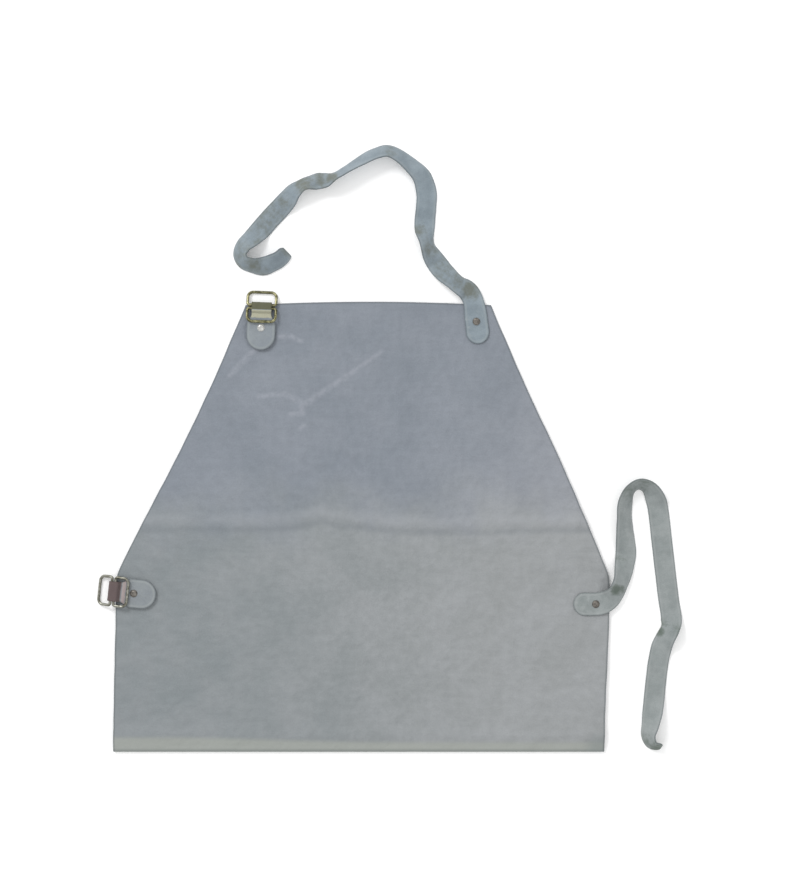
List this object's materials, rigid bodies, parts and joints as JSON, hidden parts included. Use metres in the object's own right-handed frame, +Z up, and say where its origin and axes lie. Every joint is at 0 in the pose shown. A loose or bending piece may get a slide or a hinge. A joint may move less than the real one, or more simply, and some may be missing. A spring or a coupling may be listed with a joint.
{
  "type": "protective apron",
  "caption": "Suede leather bib apron laid flat, skirt folded under, with riveted neck and waist straps and cinch rings on riveted tabs.",
  "frame": {"origin": "on the underside of the folded-under lower skirt, at mid width, where the apron rests at waist height", "axes": "+X to the right as laid face up, +Y towards the bib and neck strap, +Z up out of the front face"},
  "size_m": [0.7119, 0.7396, 0.0239],
  "materials": {
    "apron_suede": "napped grey split leather, bluish on the bib, matt",
    "strap_suede": "napped grey-green split leather, matt",
    "tab_suede": "napped pale grey split leather, matt, rubbed at the rings",
    "ring_steel": "worn plated steel wire with a brassy tint",
    "rivet_nickel": "bright nickel, lightly scratched",
    "rivet_bronze": "dark bronze, dulled"
  },
  "bodies": {
    "apron": {"apron_body": "apron_suede", "neck_tab_rivet": "rivet_nickel", "neck_tab_rivet_back_cap": "rivet_nickel", "neck_strap_rivet": "rivet_bronze", "neck_strap_rivet_back_cap": "rivet_bronze", "waist_tab_rivet": "rivet_bronze", "waist_tab_rivet_back_cap": "rivet_bronze", "waist_strap_rivet": "rivet_bronze", "waist_strap_rivet_back_cap": "rivet_bronze"},
    "lower_skirt": {"lower_skirt": "apron_suede"},
    "neck_strap": {"neck_strap": "strap_suede"},
    "waist_strap": {"waist_strap": "strap_suede"},
    "neck_tab": {"neck_ring_tab": "tab_suede"},
    "neck_outer_ring": {"neck_ring_outer": "ring_steel"},
    "neck_inner_ring": {"neck_ring_inner": "ring_steel"},
    "waist_tab": {"waist_ring_tab": "tab_suede"},
    "waist_outer_ring": {"waist_ring_outer": "ring_steel"},
    "waist_inner_ring": {"waist_ring_inner": "ring_steel"}
  },
  "joints": [
    {"name": "skirt_fold", "type": "hinge", "parent": "apron", "child": "lower_skirt", "pos_m": [0, -0.197, 0.0023], "axis": [-1, 0, 0], "range_deg": [0, 180]},
    {"name": "neck_strap_swivel", "type": "hinge", "parent": "apron", "child": "neck_strap", "pos_m": [0.1399, 0.3271, 0.004], "axis": [0, 0, -1], "range_deg": [0, 60]},
    {"name": "waist_strap_swivel", "type": "hinge", "parent": "apron", "child": "waist_strap", "pos_m": [0.2851, -0.0167, 0.0057], "axis": [0, 0, 1], "range_deg": [-8, 15]},
    {"name": "neck_tab_swivel", "type": "hinge", "parent": "apron", "child": "neck_tab", "pos_m": [-0.1222, 0.3195, 0.005], "axis": [0, 0, 1], "range_deg": [-10, 10]},
    {"name": "waist_tab_swivel", "type": "hinge", "parent": "apron", "child": "waist_tab", "pos_m": [-0.2768, -0.0037, 0.0066], "axis": [0, 0, 1], "range_deg": [-10, 15]},
    {"name": "neck_outer_ring_swing", "type": "hinge", "parent": "neck_tab", "child": "neck_outer_ring", "pos_m": [-0.12124, 0.34708, 0.0068], "axis": [0.9994, -0.0349, 0], "range_deg": [0, 110]},
    {"name": "neck_inner_ring_lift", "type": "hinge", "parent": "neck_tab", "child": "neck_inner_ring", "pos_m": [-0.12138, 0.34309, 0.0068], "axis": [-0.9994, 0.0349, 0], "range_deg": [0, 45]},
    {"name": "waist_outer_ring_swing", "type": "hinge", "parent": "waist_tab", "child": "waist_outer_ring", "pos_m": [-0.30425, -0.00081, 0.0085], "axis": [0.1045, 0.9945, 0], "range_deg": [0, 110]},
    {"name": "waist_inner_ring_lift", "type": "hinge", "parent": "waist_tab", "child": "waist_inner_ring", "pos_m": [-0.30027, -0.00123, 0.0085], "axis": [-0.1045, -0.9945, 0], "range_deg": [0, 45]}
  ]
}
